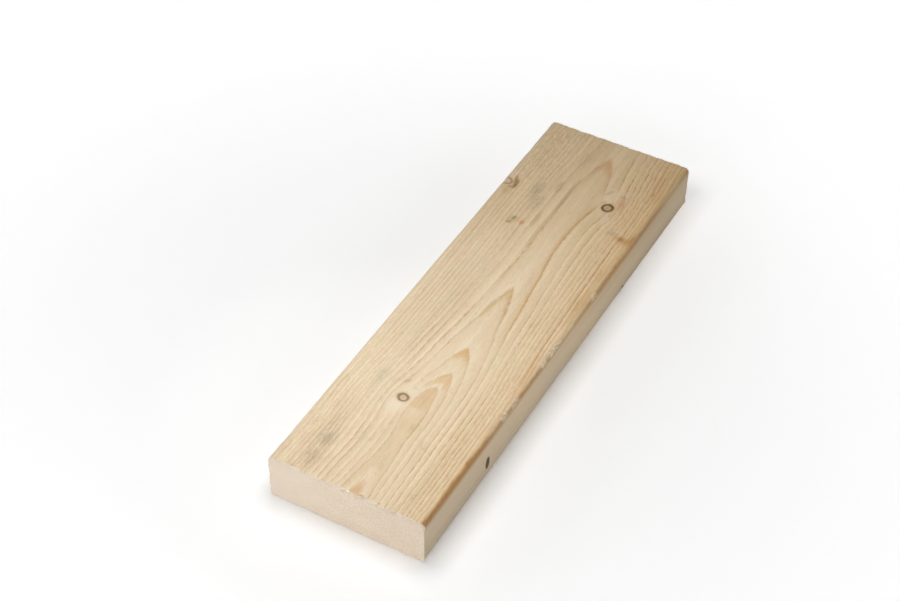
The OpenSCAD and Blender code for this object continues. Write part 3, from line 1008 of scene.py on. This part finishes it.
# Sheen: late wood and knots are smoother than the early wood, sawn ends are rough
rough = g.math("SUBTRACT", 0.60, g.mul(late, 0.12))
rough = g.math("SUBTRACT", rough, g.mul(heart, 0.14))
rough = g.add(rough, g.swing(fibre_n, 0.20))
rough = g.math("ADD", rough, g.mul(g.math("MAXIMUM", end, torn), 0.26), clamp=True)

# Fine relief
long_height = g.add(g.mul(fibre_n, 0.85), g.mul(fleck_n, 0.60), g.mul(hairs, -0.20))
cut_height = g.add(g.mul(kerf_n, 0.5), g.mul(speck, 0.8))
height = g.add(long_height, g.mul(torn, tuft, 1.6))
swap = g.new("ShaderNodeMix", data_type="FLOAT")
g.put(swap.inputs[0], end)
g.put(swap.inputs[2], height)
g.put(swap.inputs[3], cut_height)
bump = g.new("ShaderNodeBump")
bump.inputs["Strength"].default_value = 0.60
bump.inputs["Distance"].default_value = 0.00030
g.put(bump.inputs["Height"], swap.outputs[0])

shader = g.new("ShaderNodeBsdfPrincipled")
g.put(shader.inputs["Base Color"], colour)
g.put(shader.inputs["Roughness"], rough)
g.put(shader.inputs["Normal"], bump.outputs["Normal"])
shader.inputs["Specular IOR Level"].default_value = 0.22
out = g.new("ShaderNodeOutputMaterial")
g.put(out.inputs["Surface"], shader.outputs[0])

mesh.materials.append(mat)
plank = bpy.data.objects.new("plank_timber", mesh)
bpy.context.scene.collection.objects.link(plank)
mesh.set_sharp_from_angle(angle=math.radians(48))
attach(plank, "root")
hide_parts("plank")

# ---------------------------------------------------------------------------
# Stage: a pale floor that turns up into a wall all round
# ---------------------------------------------------------------------------


def make_stage():
    flat, rise, tall = 3.0, 1.4, 2.6
    profile = [(0.0, -0.0002), (0.6, -0.0002), (1.5, -0.0002), (flat, -0.0002)]
    profile += [(flat + rise * math.sin(a), rise * (1 - math.cos(a)) - 0.0002) for a in np.radians(np.arange(7.5, 90.1, 7.5))]
    profile += [(flat + rise, tall)]
    turns = 96
    verts, quads = [(0.0, 0.0, profile[0][1])], []
    for r, z in profile[1:]:
        for t in range(turns):
            a = 2 * math.pi * t / turns
            verts.append((r * math.cos(a), r * math.sin(a), z))
    for t in range(turns):
        quads.append((0, 1 + t, 1 + (t + 1) % turns))
    for p in range(len(profile) - 2):
        for t in range(turns):
            a, b = 1 + p * turns + t, 1 + p * turns + (t + 1) % turns
            quads.append((a, a + turns, b + turns, b))
    me = bpy.data.meshes.new("stage_floor")
    me.from_pydata(verts, [], quads)
    for p in me.polygons:
        p.use_smooth = True
    me.update()
    m = bpy.data.materials.new("stage_paper")
    n = Nodes(m)
    away = n.vec("SUBTRACT", n.new("ShaderNodeTexCoord").outputs["Object"], (-0.05, -0.13, 0.0))
    away = n.vec("LENGTH", n.vec("MULTIPLY", away, (1.0, 1.0, 0.0)))
    glow = [
        (0.0, 0.12), (0.2, 0.185), (0.3, 0.30), (0.4, 0.43), (0.5, 0.54), (0.6, 0.61), (0.8, 0.68), (1.2, 0.71),
        (2.0, 0.64), (3.0, 0.50),
    ]
    b = n.new("ShaderNodeBsdfPrincipled")
    n.put(b.inputs["Emission Strength"], n.ramp(n.mul(away, 1 / 3), [(d / 3, (e, e, e, 1.0)) for d, e in glow]))
    b.inputs["Base Color"].default_value = (0.93, 0.93, 0.93, 1)
    b.inputs["Roughness"].default_value = 0.9
    b.inputs["Specular IOR Level"].default_value = 0.1
    b.inputs["Emission Color"].default_value = (1, 1, 1, 1)
    n.put(n.new("ShaderNodeOutputMaterial").inputs["Surface"], b.outputs[0])
    me.materials.append(m)
    o = bpy.data.objects.new("stage_floor", me)
    bpy.context.scene.collection.objects.link(o)


make_stage()


def softbox(name, at, aim, size, watts, colour=(1, 1, 1)):
    d = bpy.data.lights.new(name, "AREA")
    d.shape = "RECTANGLE"
    d.size, d.size_y = size
    d.energy = watts
    d.color = colour
    o = bpy.data.objects.new(name, d)
    bpy.context.scene.collection.objects.link(o)
    o.location = at
    o.rotation_mode = "QUATERNION"
    o.rotation_quaternion = (Vector(aim) - Vector(at)).to_track_quat("-Z", "Y")
    o.visible_camera = False
    return o


softbox("key", (-0.05, -0.14, 0.53), (-0.05, -0.14, 0.0), (0.32, 0.32), 1.90)
softbox("front_fill", (-0.12, -1.15, 0.28), (0.0, -0.25, 0.03), (0.5, 0.4), 2.3)

world = bpy.data.worlds.new("studio")
world.use_nodes = True
world.node_tree.nodes["Background"].inputs["Color"].default_value = (1, 1, 1, 1)
world.node_tree.nodes["Background"].inputs["Strength"].default_value = 0.03
bpy.context.scene.world = world
bpy.context.scene.view_settings.view_transform = "Standard"

# ---------------------------------------------------------------------------
# Camera
# ---------------------------------------------------------------------------
FOCAL_PX, FRAME_W = 1890.6, 900.0
YAW, PITCH, ROLL = -0.504169, 0.760562, 0.012049
EYE = (0.540482, -1.061344, 1.177348)

ahead = Vector((math.sin(YAW) * math.cos(PITCH), math.cos(YAW) * math.cos(PITCH), -math.sin(PITCH)))
right = Vector((math.cos(YAW), -math.sin(YAW), 0.0))
upward = right.cross(ahead)
r2 = right * math.cos(ROLL) + upward * math.sin(ROLL)
u2 = upward * math.cos(ROLL) - right * math.sin(ROLL)
cam = bpy.data.cameras.new("camera")
cam.sensor_fit = "HORIZONTAL"
cam.sensor_width = 36.0
cam.lens = 36.0 * FOCAL_PX / FRAME_W
cam.clip_start, cam.clip_end = 0.05, 50.0
cam_ob = bpy.data.objects.new("camera", cam)
bpy.context.scene.collection.objects.link(cam_ob)
turn = Matrix((r2, u2, -ahead)).transposed().to_4x4()
cam_ob.matrix_world = Matrix.Translation(EYE) @ turn
bpy.context.scene.camera = cam_ob
